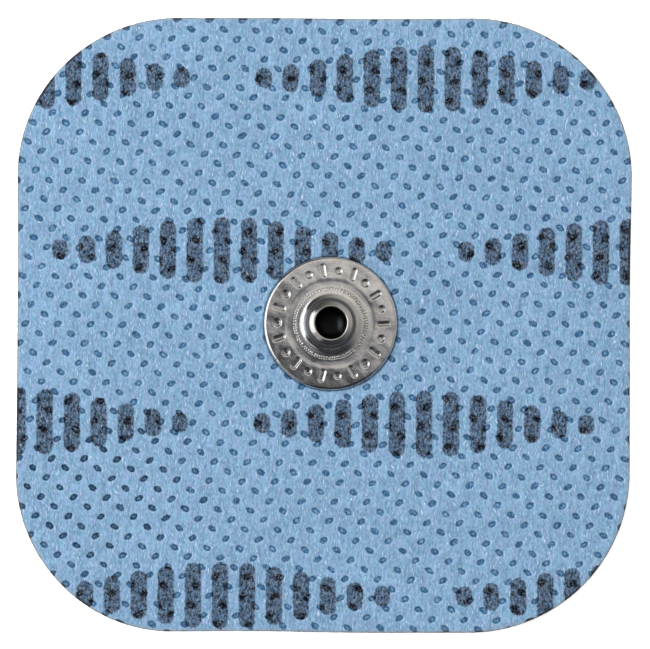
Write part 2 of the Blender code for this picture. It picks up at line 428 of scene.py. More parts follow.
def make_cloth():
    ring, normals = outline(0.0, 0.17)
    points, z, oval, shade, rim = [], [], [], [], []
    along, aside = [], []

    def put(x, y, height, o, s, e, end=0.0, side=0.0):
        """o: how far out of its oval, s: a number of its own, end and side: where in it."""
        points.append((x, y))
        z.append(height)
        oval.append(o)
        shade.append(s)
        rim.append(e)
        along.append(end)
        aside.append(side)
        return len(points) - 1

    def wavy(x, y):
        """Slow rise and fall of the cloth's surface, in mm, never above its full height."""
        v = noise.noise(Vector((x * 0.16, y * 0.16, 3.1))) * 0.5 + noise.noise(Vector((x * 0.9, y * 0.9, 7.7))) * 0.5
        return -0.022 + 0.020 * v

    # The cut edge: a ragged outer ring, then a ring just inside it.
    outer = []
    for i, ((x, y), (nx, ny)) in enumerate(zip(ring, normals)):
        bite = 0.020 + 0.045 * max(0.0, noise.noise(Vector((x * 2.3, y * 2.3, 0.4)))) + random.uniform(-0.010, 0.010)
        drop = -0.085 + random.uniform(-0.02, 0.02)
        outer.append(put(x - nx * bite, y - ny * bite, CLOTH_TOP + drop, 9.0, 0.5, 0.0))
    inner_ring, inner_normals = outline(0.115, 0.30)
    for x, y in inner_ring:
        put(x, y, CLOTH_TOP - 0.035 + wavy(x, y) * 0.6, 9.0, 0.5, 0.10)
    hole = [put(x, y, CLOTH_TOP - 0.05, 9.0, 0.5, 1.0) for x, y in circle(1.50, 56)]

    limit, _ = outline(0.17, 0.4)
    bonds = bond_points()
    bx, by = np.array([b[0] for b in bonds]), np.array([b[1] for b in bonds])
    ovals = ((0.0, 1, -0.80), (0.50, 7, -0.86), (0.82, 11, -1.0), (1.04, 13, -0.70),
             (1.32, 13, -0.20), (1.75, 12, 0.0))
    todo = []
    for x, y, lean, long_, wide, s in bonds:
        c, sn = math.cos(math.radians(lean)), math.sin(math.radians(lean))
        deep = POINT_DEEP * (0.85 + 0.3 * s)
        for f, count, down in ovals:
            start = random.random()
            for k in range(count):
                a = 2 * math.pi * (k + start) / count
                u, v = f * long_ * math.cos(a), f * wide * math.sin(a)
                if f == 1.75:      # the outermost ring is rounder
                    u, v = (long_ + 0.21) * math.cos(a), (wide + 0.17) * math.sin(a)
                px, py = u * c - v * sn, u * sn + v * c
                side = px / (0.85 * long_) if f > 0 else 0.0
                todo.append((x + px, y + py, deep * down, f, s, f * math.cos(a), side))
    ok = inside(limit, [t[0] for t in todo], [t[1] for t in todo])
    for (x, y, down, f, s, end, side), good in zip(todo, ok):
        if good and math.hypot(x - CX, y - CY) > 1.60:
            puff = 0.006 if f == 1.75 else 0.0
            put(x, y, CLOTH_TOP + wavy(x, y) + down - puff, f, s, 1.0, end, side)

    # Points between the bonds, where the cloth stands highest.
    fill = []
    step = 0.46
    rows = int(SIDE / (step * 0.866)) + 2
    for j in range(-rows // 2, rows // 2 + 1):
        for i in range(-58, 59):
            x = (i + 0.5 * (j % 2)) * step + random.uniform(-0.09, 0.09)
            y = j * step * 0.866 + random.uniform(-0.09, 0.09)
            fill.append((x, y))
    fx, fy = np.array([f[0] for f in fill]), np.array([f[1] for f in fill])
    ok = inside(limit, fx, fy) & (np.hypot(fx - CX, fy - CY) > 1.75)
    fx, fy = fx[ok], fy[ok]
    for a in range(0, len(fx), 2000):
        x, y = fx[a:a + 2000], fy[a:a + 2000]
        near = np.hypot(x[:, None] - bx[None], y[:, None] - by[None]).min(1)
        for px, py, d in zip(x, y, near):
            if d > 0.62:
                lift = 0.014 * min(1.0, (d - 0.62) / 0.45)
                put(float(px), float(py), CLOTH_TOP + wavy(px, py) + lift - 0.003, 2.4, 0.5, 1.0)

    faces = fill_sheet(points, outer, [hole])

    # How far each point lies from the cut edge, for the edge's colour.
    rx, ry = np.array([p[0] for p in ring]), np.array([p[1] for p in ring])
    px, py = np.array([p[0] for p in points]), np.array([p[1] for p in points])
    close = np.flatnonzero(np.maximum(np.abs(px), np.abs(py)) > 17.0)
    for a in range(0, len(close), 4000):
        part = close[a:a + 4000]
        d = np.hypot(px[part][:, None] - rx[None], py[part][:, None] - ry[None]).min(1)
        for i, v in zip(part, d):
            if rim[i] == 1.0:
                rim[i] = float(min(1.0, v))

    # Points on the edge take their place in any bond that the knife cut.
    for i in np.flatnonzero(np.array(oval) == 9.0):
        x, y = points[i]
        best = 2.4
        for k in np.flatnonzero(np.hypot(bx - x, by - y) < 0.8):
            b = bonds[k]
            c, sn = math.cos(math.radians(b[2])), math.sin(math.radians(b[2]))
            u, v = (x - b[0]) * c + (y - b[1]) * sn, -(x - b[0]) * sn + (y - b[1]) * c
            best = min(best, math.hypot(u / b[3], v / b[4]))
        oval[i] = best

    verts = [(x, y, h) for (x, y), h in zip(points, z)]

    # The cut side and the flat underside.
    n = len(outer)
    middle, low = [], []
    for i, ((x, y), (nx, ny)) in enumerate(zip(ring, normals)):
        bite = 0.012 + random.uniform(-0.010, 0.012)
        middle.append(len(verts))
        verts.append((x - nx * bite, y - ny * bite, CLOTH_LOW + 0.17 + random.uniform(-0.02, 0.02)))
    for i, ((x, y), (nx, ny)) in enumerate(zip(ring, normals)):
        low.append(len(verts))
        verts.append((x - nx * 0.03, y - ny * 0.03, CLOTH_LOW + 0.005))
    for top, under in ((outer, middle), (middle, low)):
        for i in range(n):
            k = (i + 1) % n
            faces.append((top[i], under[i], under[k], top[k]))
    base = len(verts)
    hole_low = []
    for x, y in circle(1.50, 56):
        hole_low.append(len(verts))
        verts.append((x, y, CLOTH_LOW + 0.005))
    m = len(hole)
    for i in range(m):
        k = (i + 1) % m
        faces.append((hole[i], hole[k], hole_low[k], hole_low[i]))
    flat = low + hole_low
    local = {g: i for i, g in enumerate(flat)}
    under = fill_sheet([verts[g][:2] for g in flat], [local[g] for g in low], [[local[g] for g in hole_low]])
    faces += [(flat[a], flat[c], flat[b]) for a, b, c in under]

    obj = new_object("cloth_cover", verts, faces, sharp=60)
    sides = len(verts) - len(points)
    for name, values, rest in (("oval", oval, 9.0), ("shade", shade, 0.5), ("edge", rim, 0.0),
                               ("along", along, 0.0), ("aside", aside, 0.0)):
        point_values(obj, name, values + [rest] * sides)
    return obj


def paint_cloth(obj):
    p = Paint("blue_bonded_cloth", {
        "Metallic": 0.0, "IOR": 1.48, "Specular IOR Level": 0.04,
        "Sheen Weight": 0.015, "Sheen Roughness": 0.45, "Sheen Tint": (0.85, 0.92, 1.0, 1.0),
    })
    # Fibres: fine streaks that run mostly front to back, with single fibres standing out.
    wander = p.noise(p.mapped((0.7, 0.35, 0.0)), 1.0, 2.0, 0.5)
    bent = p.vector("ADD", p.place, p.join(p.mul(p.sub(wander, 0.5), 1.1), 0.0, 0.0))
    fine = p.noise(p.streaked((8.6, 4.4, 0.5), 3, vector=bent), 1.0, 0.0)
    fine_b = p.noise(p.streaked((8.2, 2.2, 0.5), -13, (31.0, 4.0, 0.0), bent), 1.0, 0.0)
    long_ = p.noise(p.streaked((7.0, 0.60, 0.5), 4, (-12.0, 44.0, 0.0), bent), 1.0, 0.0)
    grain = p.noise(p.mapped((11.0, 9.5, 1.0)), 1.0, 0.0)
    weave = p.add(p.add(p.mul(fine, 0.32), p.mul(fine_b, 0.22)), p.add(p.mul(long_, 0.28), p.mul(grain, 0.18)))
    light, beside = p.strokes((3.0, 0.55), -7, (0.0, 0.0, 0.0), 0.03, 0.15, 0.25, bent, True)
    for scale, lean, move, thick in (((2.7, 0.42), 8, (17.0, 5.0, 0.0), 0.135), ((3.6, 0.90), 1, (3.0, 61.0, 0.0), 0.155)):
        core, flank = p.strokes(scale, lean, move, 0.03, thick, 0.25, bent, True)
        light, beside = p.math("MAXIMUM", light, core), p.math("MAXIMUM", beside, flank)
    dark = p.strokes((3.4, 0.95), 3, (40.0, 8.0, 0.0), 0.03, 0.16, 0.40, bent)
    spark = p.strokes((6.2, 1.7), -4, (88.0, 31.0, 0.0), 0.04, 0.17, 0.970, bent)
    cloudy = p.noise(p.mapped((0.10, 0.10, 0.0)), 1.0, 2.0, 0.5)
    patch = p.noise(p.mapped((1.4, 0.55, 0.0), move=(7.0, 3.0, 0.0)), 1.0, 2.0, 0.55)
    hue = p.noise(p.mapped((1.9, 1.1, 0.0), move=(33.0, 3.0, 0.0)), 1.0, 2.0, 0.6)

    deep, pale = (0.128, 0.251, 0.415), (0.362, 0.572, 0.816)
    base = p.colour(p.ramp(weave, 0.28, 0.72, kind="LINEAR"), deep, pale)
    base = p.scaled(base, p.ramp(cloudy, 0.25, 0.75, 0.97, 1.035))
    base = p.scaled(base, p.ramp(patch, 0.28, 0.72, 0.93, 1.06))
    # painted shadow: darker lines beside the light fibre strokes
    base = p.colour(p.mul(beside, 0.42), base, (0.095, 0.210, 0.365))
    base = p.colour(p.mul(dark, 0.50), base, (0.095, 0.210, 0.365))
    base = p.colour(p.mul(light, 0.92), base, (0.62, 0.79, 0.95))
    base = p.vector("MULTIPLY", base, p.colour(p.ramp(hue, 0.35, 0.65), (0.925, 1.010, 0.985), (1.075, 0.985, 1.015)))
    base = p.colour(p.ramp(spark, 0.0, 0.5), base, (0.86, 0.92, 0.96))

    # Bond points: pressed clear, so the dark film under them shows; the darker ring near their edges is painted shade
    # on their walls.
    oval, shade = p.given("oval"), p.given("shade")
    end, side = p.given("along"), p.given("aside")
    rough = p.noise(p.mapped((6.4, 5.4, 1.0), move=(2.0, 9.0, 0.0)), 1.0, 1.0, 0.5)
    reach = p.add(oval, p.mul(p.sub(rough, 0.5), 0.55))
    floor = p.ramp(reach, 0.92, 1.20, 1.0, 0.0)
    ring = p.peak(reach, 0.82, 0.44)
    halo = p.peak(oval, 1.50, 0.40)
    uneven = p.math("FRACT", p.mul(shade, 13.7))
    one_end = p.ramp(p.mul(end, p.math("SIGN", p.sub(uneven, 0.5))), 0.10, 0.85)
    print_ = ink_mask(p)

    plain_floor = p.colour(p.ramp(rough, 0.36, 0.64), (0.016, 0.080, 0.190), (0.155, 0.290, 0.465))
    plain_floor = p.scaled(plain_floor, p.ramp(shade, 0.0, 1.0, 0.86, 1.32, "LINEAR"))
    plain_floor = p.scaled(plain_floor, p.sub(1.0, p.mul(one_end, 0.42)))
    damp = p.vector("LENGTH", p.vector("SUBTRACT", p.vector("MULTIPLY", p.place, (0.8, 1.0, 0.0)), (-14.6, -14.0, 0.0)))
    damp = p.ramp(p.add(damp, p.mul(p.sub(cloudy, 0.5), 6.0)), 3.0, 9.5, 1.0, 0.0)
    plain_floor = p.scaled(plain_floor, p.sub(1.0, p.mul(damp, p.ramp(p.math("FRACT", p.mul(shade, 31.0)), 0.0, 0.5, 0.12, 0.58))))
    broken = p.noise(p.mapped((5.5, 5.5, 0.0), move=(71.0, 15.0, 0.0)), 1.0, 1.0, 0.5)
    base = p.colour(p.mul(halo, 0.20), base, (0.42, 0.57, 0.73))
    base = p.colour(p.mul(floor, 0.93), base, plain_floor)
    # painted shade: a broken dark ring on each bond's walls
    stark = p.ramp(p.math("FRACT", p.mul(shade, 23.3)), 0.0, 1.0, 0.66, 1.20, "LINEAR")
    rim_colour = p.colour(p.mul(damp, 0.90), (0.036, 0.116, 0.232), (0.001, 0.022, 0.062))
    base = p.colour(p.mul(p.mul(ring, stark), p.ramp(broken, 0.34, 0.56, 0.36, 1.0)), base, rim_colour)

    # Print: dark slate bars in the fibres, thin where a fibre stands proud, near black in the bonds.
    mottle = p.noise(p.mapped((4.6, 3.0, 0.0), move=(5.0, 1.0, 0.0)), 1.0, 1.0, 0.6)
    speck = p.noise(p.mapped((8.0, 5.6, 0.0), move=(9.0, 9.0, 0.0)), 1.0, 0.0)
    tone = p.noise(p.mapped((2.1, 1.7, 0.0), move=(0.0, 21.0, 0.0)), 1.0, 2.0, 0.6)
    thin = p.add(p.add(p.mul(mottle, 0.50), p.mul(speck, 0.36)), p.mul(weave, 0.14))
    inked = p.scaled(base, p.ramp(thin, 0.37, 0.63, 0.050, 0.540, "LINEAR"))
    inked = p.vector("MULTIPLY", inked, p.colour(p.ramp(tone, 0.38, 0.62), (1.13, 0.97, 0.93), (0.93, 0.97, 1.12)))
    pool = p.colour(p.ramp(rough, 0.42, 0.68), (0.0010, 0.0014, 0.0032), (0.082, 0.108, 0.158))
    pool = p.colour(p.mul(p.ramp(tone, 0.48, 0.36), 0.65), pool, (0.014, 0.009, 0.009))
    # the bonds' painted shade ring, darker still in the print
    pool = p.colour(p.mul(ring, 0.6), pool, (0.005, 0.006, 0.010))
    soaked = p.math("MAXIMUM", floor, p.mul(p.ramp(p.add(oval, p.mul(p.sub(mottle, 0.5), 1.6)), 1.20, 2.10, 1.0, 0.0), 0.88))
    inked = p.colour(p.mul(soaked, 0.92), inked, pool)
    base = p.colour(p.mul(print_, p.math("MAXIMUM", p.ramp(mottle, 0.30, 0.75, 1.0, 0.86), floor)), base, inked)
    glint = p.strokes((5.5, 4.2), 5, (23.0, 51.0, 0.0), 0.05, 0.19, 0.68)
    glint = p.mul(p.mul(glint, print_), p.add(0.34, p.mul(p.ramp(oval, 1.9, 1.2), 0.66)))
    base = p.colour(p.mul(glint, 0.95), base, (0.72, 0.73, 0.76))

    # Painted highlight: lighter cloth on the right-hand flank of each bond, the flank that faces the light, patchy and
    # weaker in the print.
    ragged_noise = p.noise(p.streaked((7.0, 2.2, 0.5), 3, (60.0, 9.0, 0.0)), 1.0, 1.0, 0.5)
    flank = p.mul(p.ramp(side, 1.10, 1.45), p.mul(p.ramp(reach, 1.08, 1.25), p.ramp(oval, 1.45, 1.80, 1.0, 0.0)))
    flank = p.mul(p.mul(flank, p.sub(1.0, p.mul(print_, 0.80))), p.ramp(ragged_noise, 0.42, 0.64, 0.0, 1.0))
    flank = p.mul(flank, p.ramp(p.math("FRACT", p.mul(shade, 5.3)), 0.15, 1.0, 0.15, 1.0, "LINEAR"))
    base = p.colour(p.mul(flank, 0.62), base, (0.66, 0.80, 0.94))

    # The cut edge: fibres greyed and fused by the knife, black where it cuts a bond or the print.
    edge = p.given("edge")
    nicks = p.noise(p.mapped((2.2, 2.2, 1.0), move=(3.0, 3.0, 0.0)), 1.0, 3.0, 0.6)
    near = p.add(edge, p.mul(p.sub(nicks, 0.5), 0.16))
    base = p.colour(p.mul(p.ramp(near, 0.08, 0.30, 1.0, 0.0), p.sub(0.62, p.mul(print_, 0.45))), base, (0.330, 0.400, 0.450))
    cut = p.math("MAXIMUM", p.ramp(oval, 1.55, 1.05), print_)
    base = p.colour(p.mul(p.ramp(near, 0.14, 0.26, 1.0, 0.0), p.mul(cut, 0.85)), base, (0.020, 0.021, 0.027))
    base = p.colour(p.mul(p.ramp(near, 0.0, 0.085, 1.0, 0.0), 0.80), base, (0.075, 0.085, 0.095))

    # Painted shade: the cloth darkened in a narrow ring just outside the stud's rim.
    away = p.vector("LENGTH", p.vector("SUBTRACT", p.vector("MULTIPLY", p.place, (1.0, 1.0, 0.0)), (CX, CY, 0.0)))
    base = p.scaled(base, p.ramp(p.add(away, p.mul(p.sub(nicks, 0.5), 0.16)), 5.44, 5.62, 0.22, 1.0))
    p.put(p.bsdf.inputs["Base Color"], base)

    gloss = p.ramp(weave, 0.35, 0.65, 0.80, 0.62)
    gloss = p.sub(gloss, p.mul(floor, 0.22))
    p.put(p.bsdf.inputs["Roughness"], gloss)
    height = p.add(p.mul(weave, 0.90), p.mul(p.sub(light, dark), 0.35))
    p.put(p.bsdf.inputs["Normal"], p.bump(height, 0.000050, 0.8))
    p.wear(obj)


def ink_mask(p):
    """Print: staggered rows of plain rounded bars, tall in the middle of each run and short at its ends."""
    ragged_noise = p.noise(p.mapped((6.5, 3.2, 1.0), move=(1.0, 7.0, 0.0)), 1.0, 3.0, 0.7)
    x, y, _ = p.split(p.place)
    row_pitch, run_pitch, bar_pitch, half_bar = 14.06, 33.1, 2.20, 0.66
    rows = p.math("DIVIDE", p.sub(y, 6.05 - row_pitch), row_pitch)
    row = p.math("ROUND", rows)
    dy = p.mul(p.sub(rows, row), row_pitch)
    odd = p.math("MODULO", p.math("ABSOLUTE", row), 2.0)
    runs = p.math("DIVIDE", p.sub(p.sub(x, 8.2), p.mul(odd, run_pitch / 2)), run_pitch)
    run = p.math("ROUND", runs)
    dx = p.mul(p.sub(runs, run), run_pitch)
    bars = p.math("DIVIDE", dx, bar_pitch)
    bar = p.math("ROUND", bars)
    bar = p.math("MAXIMUM", p.math("MINIMUM", bar, 6.0), -6.0)
    bx = p.sub(dx, p.mul(bar, bar_pitch))
    swell = p.math("COSINE", p.mul(bar, math.pi / 14.5))
    tall = p.add(0.55, p.mul(p.mul(swell, swell), 2.05))
    qy = p.math("MAXIMUM", p.sub(p.math("ABSOLUTE", dy), p.sub(tall, half_bar * 0.8)), 0.0)
    d = p.sub(p.math("SQRT", p.add(p.mul(bx, bx), p.mul(qy, qy))), half_bar)
    return p.ramp(p.add(d, p.mul(p.sub(ragged_noise, 0.5), 0.42)), -0.06, 0.07, 1.0, 0.0)


# ------------------------------------------------------------------ film, gel and sticker
def make_film():
    ring, normals = outline(0.045, 0.35)
    verts, faces = [], []
    levels = ((0.035, FILM_TOP), (0.0, FILM_TOP - 0.03), (0.0, FILM_LOW + 0.03), (0.035, FILM_LOW))
    loops = []
    for inset, z in levels:
        loop = []
        for (x, y), (nx, ny) in zip(ring, normals):
            wobble = 0.012 * noise.noise(Vector((x * 1.7, y * 1.7, 5.0)))
            loop.append(len(verts))
            verts.append((x - nx * (inset + wobble), y - ny * (inset + wobble), z))
        loops.append(loop)
    n = len(ring)
    for top, low in zip(loops, loops[1:]):
        for i in range(n):
            k = (i + 1) % n
            faces.append((top[i], low[i], low[k], top[k]))
    hole_top = list(range(len(verts), len(verts) + 56))
    verts += circle(1.50, 56, FILM_TOP)
    hole_low = list(range(len(verts), len(verts) + 56))
    verts += circle(1.50, 56, FILM_LOW)
    for i in range(56):
        k = (i + 1) % 56
        faces.append((hole_top[i], hole_top[k], hole_low[k], hole_low[i]))
    for ring_, hole, flip in ((loops[0], hole_top, False), (loops[-1], hole_low, True)):
        flat = ring_ + hole
        tri = fill_sheet([verts[g][:2] for g in flat], list(range(n)), [list(range(n, n + 56))])
        faces += [(flat[a], flat[c], flat[b]) if flip else (flat[a], flat[b], flat[c]) for a, b, c in tri]
    return new_object("film_sheet", verts, faces, sharp=35)


def paint_film(obj):
    p = Paint("carbon_film", {"Metallic": 0.0, "IOR": 1.5, "Specular IOR Level": 0.45})
    cloud = p.noise(p.mapped((0.5, 0.5, 0.5)), 1.0, 3.0, 0.6)
    grain = p.noise(p.mapped((9.0, 9.0, 9.0)), 1.0, 3.0, 0.6)
    streak = p.noise(p.mapped((0.25, 6.0, 1.0)), 1.0, 2.0, 0.5)
    base = p.colour(cloud, (0.011, 0.011, 0.012), (0.024, 0.024, 0.026))
    base = p.colour(p.mul(p.ramp(grain, 0.55, 0.75), 0.4), base, (0.050, 0.050, 0.054))
    p.put(p.bsdf.inputs["Base Color"], base)
    p.put(p.bsdf.inputs["Roughness"], p.ramp(p.add(p.mul(streak, 0.5), p.mul(grain, 0.5)), 0.3, 0.7, 0.34, 0.55))
    p.put(p.bsdf.inputs["Normal"], p.bump(p.add(p.mul(grain, 0.6), p.mul(streak, 0.4)), 0.00002, 0.6))
    p.wear(obj)


def make_gel():
    """A soft sheet whose sides belly out a little, with the sticker's pocket in its top."""
    ring, normals = outline(0.16, 0.35)
    top = FILM_LOW + 0.008                      # it wets the film, so no air shows between them
    levels = ((0.10, top), (0.055, top - 0.015), (0.03, top - 0.10), (0.0, 0.72), (-0.015, 0.50),
              (0.0, 0.25), (0.04, 0.10), (0.10, 0.035), (0.19, 0.008), (0.30, 0.0))
    verts, faces, loops = [], [], []
    for inset, z in levels:
        loop = []
        for (x, y), (nx, ny) in zip(ring, normals):
            w = 0.030 * noise.noise(Vector((x * 0.55, y * 0.55, z * 1.1 + 2.0))) \
                + 0.010 * noise.noise(Vector((x * 2.6, y * 2.6, z * 3.0)))
            loop.append(len(verts))
            verts.append((x - nx * (inset + w), y - ny * (inset + w), z))
        loops.append(loop)
    n = len(ring)
    for a, b in zip(loops, loops[1:]):
        for i in range(n):
            k = (i + 1) % n
            faces.append((a[i], b[i], b[k], a[k]))

    # Pocket: its rings follow the sticker's lower side and wet it too.
    eps = 0.006
    pocket = [(7.03, top), (7.03, 0.90 + eps), (4.97, 0.90 + eps), (4.36, DISC_LOW + eps)]
    steps = 128
    rings = []
    for r, z in pocket:
        rings.append(list(range(len(verts), len(verts) + steps)))
        verts += circle(r, steps, z)
    for a, b in zip(rings, rings[1:]):
        for i in range(steps):
            k = (i + 1) % steps
            faces.append((a[i], a[k], b[k], b[i])[::-1])
    middle = len(verts)
    verts.append((CX, CY, DISC_LOW + eps))
    for i in range(steps):
        k = (i + 1) % steps
        faces.append((middle, rings[-1][i], rings[-1][k]))
    flat = loops[0] + rings[0]
    tri = fill_sheet([verts[g][:2] for g in flat], list(range(n)), [list(range(n, n + steps))])
    faces += [(flat[a], flat[b], flat[c]) for a, b, c in tri]
    centre = len(verts)
    verts.append((0.0, 0.0, 0.0))
    low = loops[-1]
    for i in range(n):
        k = (i + 1) % n
        faces.append((centre, low[k], low[i]))
    obj = new_object("gel_sheet", verts, faces, sharp=45)
    bm = bmesh.new()
    bm.from_mesh(obj.data)
    bmesh.ops.recalc_face_normals(bm, faces=bm.faces)
    bm.to_mesh(obj.data)
    bm.free()
    return obj


def paint_gel(obj):
    p = Paint("skin_gel", {
        "Metallic": 0.0, "IOR": 1.39, "Transmission Weight": 0.92, "Specular IOR Level": 0.5,
    })
    cloud = p.noise(p.mapped((0.35, 0.35, 0.7)), 1.0, 3.0, 0.55)
    base = p.colour(cloud, (0.80, 0.88, 0.90), (0.90, 0.95, 0.95))
    p.put(p.bsdf.inputs["Base Color"], base)
    smear = p.noise(p.mapped((1.2, 0.5, 1.0)), 1.0, 3.0, 0.6)
    p.put(p.bsdf.inputs["Roughness"], p.ramp(smear, 0.35, 0.7, 0.05, 0.16))
    fine = p.noise(p.mapped((2.4, 2.4, 2.4)), 1.0, 2.0, 0.5)
    p.put(p.bsdf.inputs["Normal"], p.bump(fine, 0.00004, 0.35))
    p.wear(obj)


def make_sticker():
    profile = [(0.0, DISC_LOW + 0.10), (4.12, DISC_LOW + 0.10), (4.20, DISC_LOW + 0.11), (4.72, DISC_TOP - 0.01),
               (4.80, DISC_TOP), (6.96, DISC_TOP), (7.00, DISC_TOP - 0.02),
               (7.00, DISC_TOP - 0.08), (6.97, DISC_TOP - 0.10), (4.97, DISC_TOP - 0.10),
               (4.90, DISC_TOP - 0.11), (4.40, DISC_LOW + 0.01), (4.32, DISC_LOW), (0.0, DISC_LOW)]
    return turned("sticker_disc", profile, 160, False, sharp=40)


def paint_sticker(obj):
    p = Paint("sticker_film", {"Metallic": 0.0, "IOR": 1.5, "Specular IOR Level": 0.5})
    cloud = p.noise(p.mapped((0.5, 0.5, 0.5)), 1.0, 3.0, 0.6)
    grain = p.noise(p.mapped((8.0, 8.0, 8.0)), 1.0, 2.0, 0.5)
    base = p.colour(cloud, (0.62, 0.63, 0.62), (0.74, 0.75, 0.74))
    p.put(p.bsdf.inputs["Base Color"], base)
    p.put(p.bsdf.inputs["Roughness"], p.ramp(grain, 0.3, 0.7, 0.40, 0.55))
    p.put(p.bsdf.inputs["Normal"], p.bump(grain, 0.00001, 0.5))
    p.wear(obj)


# ------------------------------------------------------------------ stud and rivet
FLANGE_TOP = 0.45
MARK_IN, MARK_OUT = 3.80, 4.86
MARKS = 22                       # bars and dimples by turns
hand = random.Random(7)          # no mark was struck quite like the next
STRUCK = [(hand.uniform(-0.04, 0.04), hand.uniform(-0.05, 0.05), hand.uniform(-0.16, 0.16),
           hand.uniform(0.88, 1.14), hand.uniform(0.62, 1.0)) for _ in range(MARKS)]


def mark_depth(r, a):
    """How far the pressed marks go into the flange here, 0 to 1."""
    if not 3.55 < r < 5.05:
        return 0.0
    pitch = 2 * math.pi / MARKS
    slot = round(a / pitch) % MARKS
    out, aside, lean, size, deep = STRUCK[slot]
    off = ((a - slot * pitch + math.pi) % (2 * math.pi) - math.pi) * r - aside
    up = r - (MARK_IN + MARK_OUT) / 2 - out
    off, up = off * math.cos(lean) - up * math.sin(lean), off * math.sin(lean) + up * math.cos(lean)
    if slot % 2 == 0:            # a short radial bar with round ends
        half = 0.195 * size
        q = max(abs(up) - ((MARK_OUT - MARK_IN) / 2 - half), 0.0)
        d = math.hypot(off, q) - half
    else:                        # a round dimple
        d = math.hypot(off, up) - 0.30 * size
    t = min(1.0, max(0.0, (0.045 - d) / 0.15))
    return deep * t * t * (3 - 2 * t)


def knurl(r, a):
    """Two close circles of fine uneven notches where the shoulder meets the flange, in mm."""
    out = 0.0
    for centre, count, turn, high in ((2.79, 84, 0.0, 0.024), (2.97, 90, 0.4, 0.014)):
        near = max(0.0, 1 - abs(r - centre) / 0.080)
        if near > 0:
            uneven = noise.noise(Vector((math.cos(a) * 8, math.sin(a) * 8, centre * 3)))
            tooth = math.cos(count * (a + turn) + 5.0 * uneven)
            out += near * high * (tooth + 1.1 * uneven + 0.6)
    return out


def make_stud():
    head = (
        spline_points([(1.50, 3.06), (1.515, 3.10), (1.57, 3.13), (1.72, 3.135), (1.80, 3.12), (1.865, 3.045),
                       (1.915, 2.95), (1.940, 2.84), (1.942, 2.74), (1.915, 2.62), (1.850, 2.50),
                       (1.75, 2.32), (1.670, 2.08), (1.642, 1.85), (1.643, 1.62), (1.658, 1.44), (1.72, 1.255),
                       (1.82, 1.064), (1.95, 0.904), (2.10, 0.762), (2.24, 0.638), (2.33, 0.578), (2.41, 0.546)], 3)
    )
    ring = spline_points([(2.48, 0.529), (2.56, 0.515), (2.64, 0.504), (2.72, 0.495), (2.80, 0.487), (2.88, 0.479),
                          (2.98, 0.470), (3.08, 0.462)], 4)
    slope = spline_points([(3.14, 0.457), (3.26, 0.453), (3.36, 0.450), (3.44, 0.447), (3.50, 0.446), (3.57, 0.449)], 2)
    band = [(float(r), FLANGE_TOP) for r in np.arange(3.62, 5.09, 0.044)]
    rim = spline_points([(5.13, 0.449), (5.20, 0.444), (5.26, 0.430), (5.32, 0.402), (5.375, 0.355), (5.42, 0.285),
                         (5.445, 0.180), (5.451, 0.070), (5.451, 0.015), (5.435, 0.0)], 3)
    outer = head + ring + slope + band + rim
    inner = [(5.24, 0.0), (5.215, 0.02), (5.17, 0.12), (5.02, 0.18), (3.75, 0.18),
             (3.42, 0.20), (3.05, 0.265), (2.62, 0.34), (2.25, 0.46), (2.00, 0.60),
             (1.74, 0.78), (1.55, 0.96), (1.47, 1.20), (1.46, 2.05), (1.64, 2.38), (1.69, 2.62),
             (1.66, 2.82), (1.50, 2.99)]
    profile = [(r, z + STUD_Z) for r, z in outer + inner]
    first, last = len(head), len(outer)

    def shape(r, a, z, i):
        if not first <= i < last:
            return r, z
        z += knurl(r, a)
        # the band is slightly domed and uneven, with the marks pressed into it
        across = min(1.0, max(0.0, (r - 3.72) / 1.42))
        dome = 0.012 * min(1.0, max(0.0, (r - 3.34) / 0.42)) - 0.074 * across ** 1.15
        x, y = math.cos(a) * r, math.sin(a) * r
        ripple = (0.034 * noise.noise(Vector((x * 0.75, y * 0.75, 1.3))) + 0.008 * noise.noise(Vector((x * 1.9, y * 1.9, 4.3)))
                  + 0.0014 * noise.noise(Vector((x * 4.8, y * 4.8, 8.3))))
        fade = 1.0 if r < 5.10 else max(0.0, min(1.0, (profile[i][1] - STUD_Z) / FLANGE_TOP))
        z += dome * fade + ripple * fade * min(1.0, max(0.0, (r - 3.1) / 0.5))
        z -= 0.150 * mark_depth(r, a)
        return r, z

    obj = turned("stud_shell", profile, 480, True, shape, sharp=60)
    pressed = [mark_depth(math.hypot(v.co.x / MM - CX, v.co.y / MM - CY),
                          math.atan2(v.co.y / MM - CY, v.co.x / MM - CX) % (2 * math.pi))
               if v.co.z / MM - STUD_Z > 0.25 else 0.0 for v in obj.data.vertices]
    point_values(obj, "pressed", pressed)
    return obj


def make_rivet():
    bore, shank = 1.28, 1.42
    up = (
        spline_points([(0.0, 0.16), (0.30, 0.165), (0.60, 0.205), (0.86, 0.290), (1.06, 0.450), (1.20, 0.720),
                       (1.265, 1.05), (bore, 1.50)], 3)
        + [(bore, 2.2), (bore, 2.8), (bore, 3.05)]
        + arc(1.415, 3.305, 0.135, 180, 96, 10)
        + spline_points([(1.401, 3.440), (1.430, 3.435), (1.468, 3.418), (1.52, 3.390), (1.60, 3.345), (1.68, 3.298),
                         (1.75, 3.254), (1.795, 3.215), (1.808, 3.188), (1.795, 3.160), (1.74, 3.146), (1.58, 3.145)], 3)[1:]
        + [(1.47, 3.12), (shank, 3.02)]
    )
    profile = [(max(r, 0.0), z + STUD_Z) for r, z in up]
    profile[0] = (0.0, profile[0][1])
    profile += [(shank, 1.00), (3.90, 1.00), (3.97, 0.97), (4.0, 0.92), (4.0, POST_LOW + 0.08),
                (3.97, POST_LOW + 0.03), (3.90, POST_LOW), (0.0, POST_LOW)]

    def shape(r, a, z, i):
        # the rolled lip is not perfectly round
        if z - STUD_Z > 3.05:
            r += 0.006 * math.sin(3 * a + 0.6) + 0.003 * math.sin(5 * a)
            z += 0.005 * math.sin(2 * a + 1.1)
        return r, z

    return turned("rivet_post", profile, 256, False, shape, sharp=50)


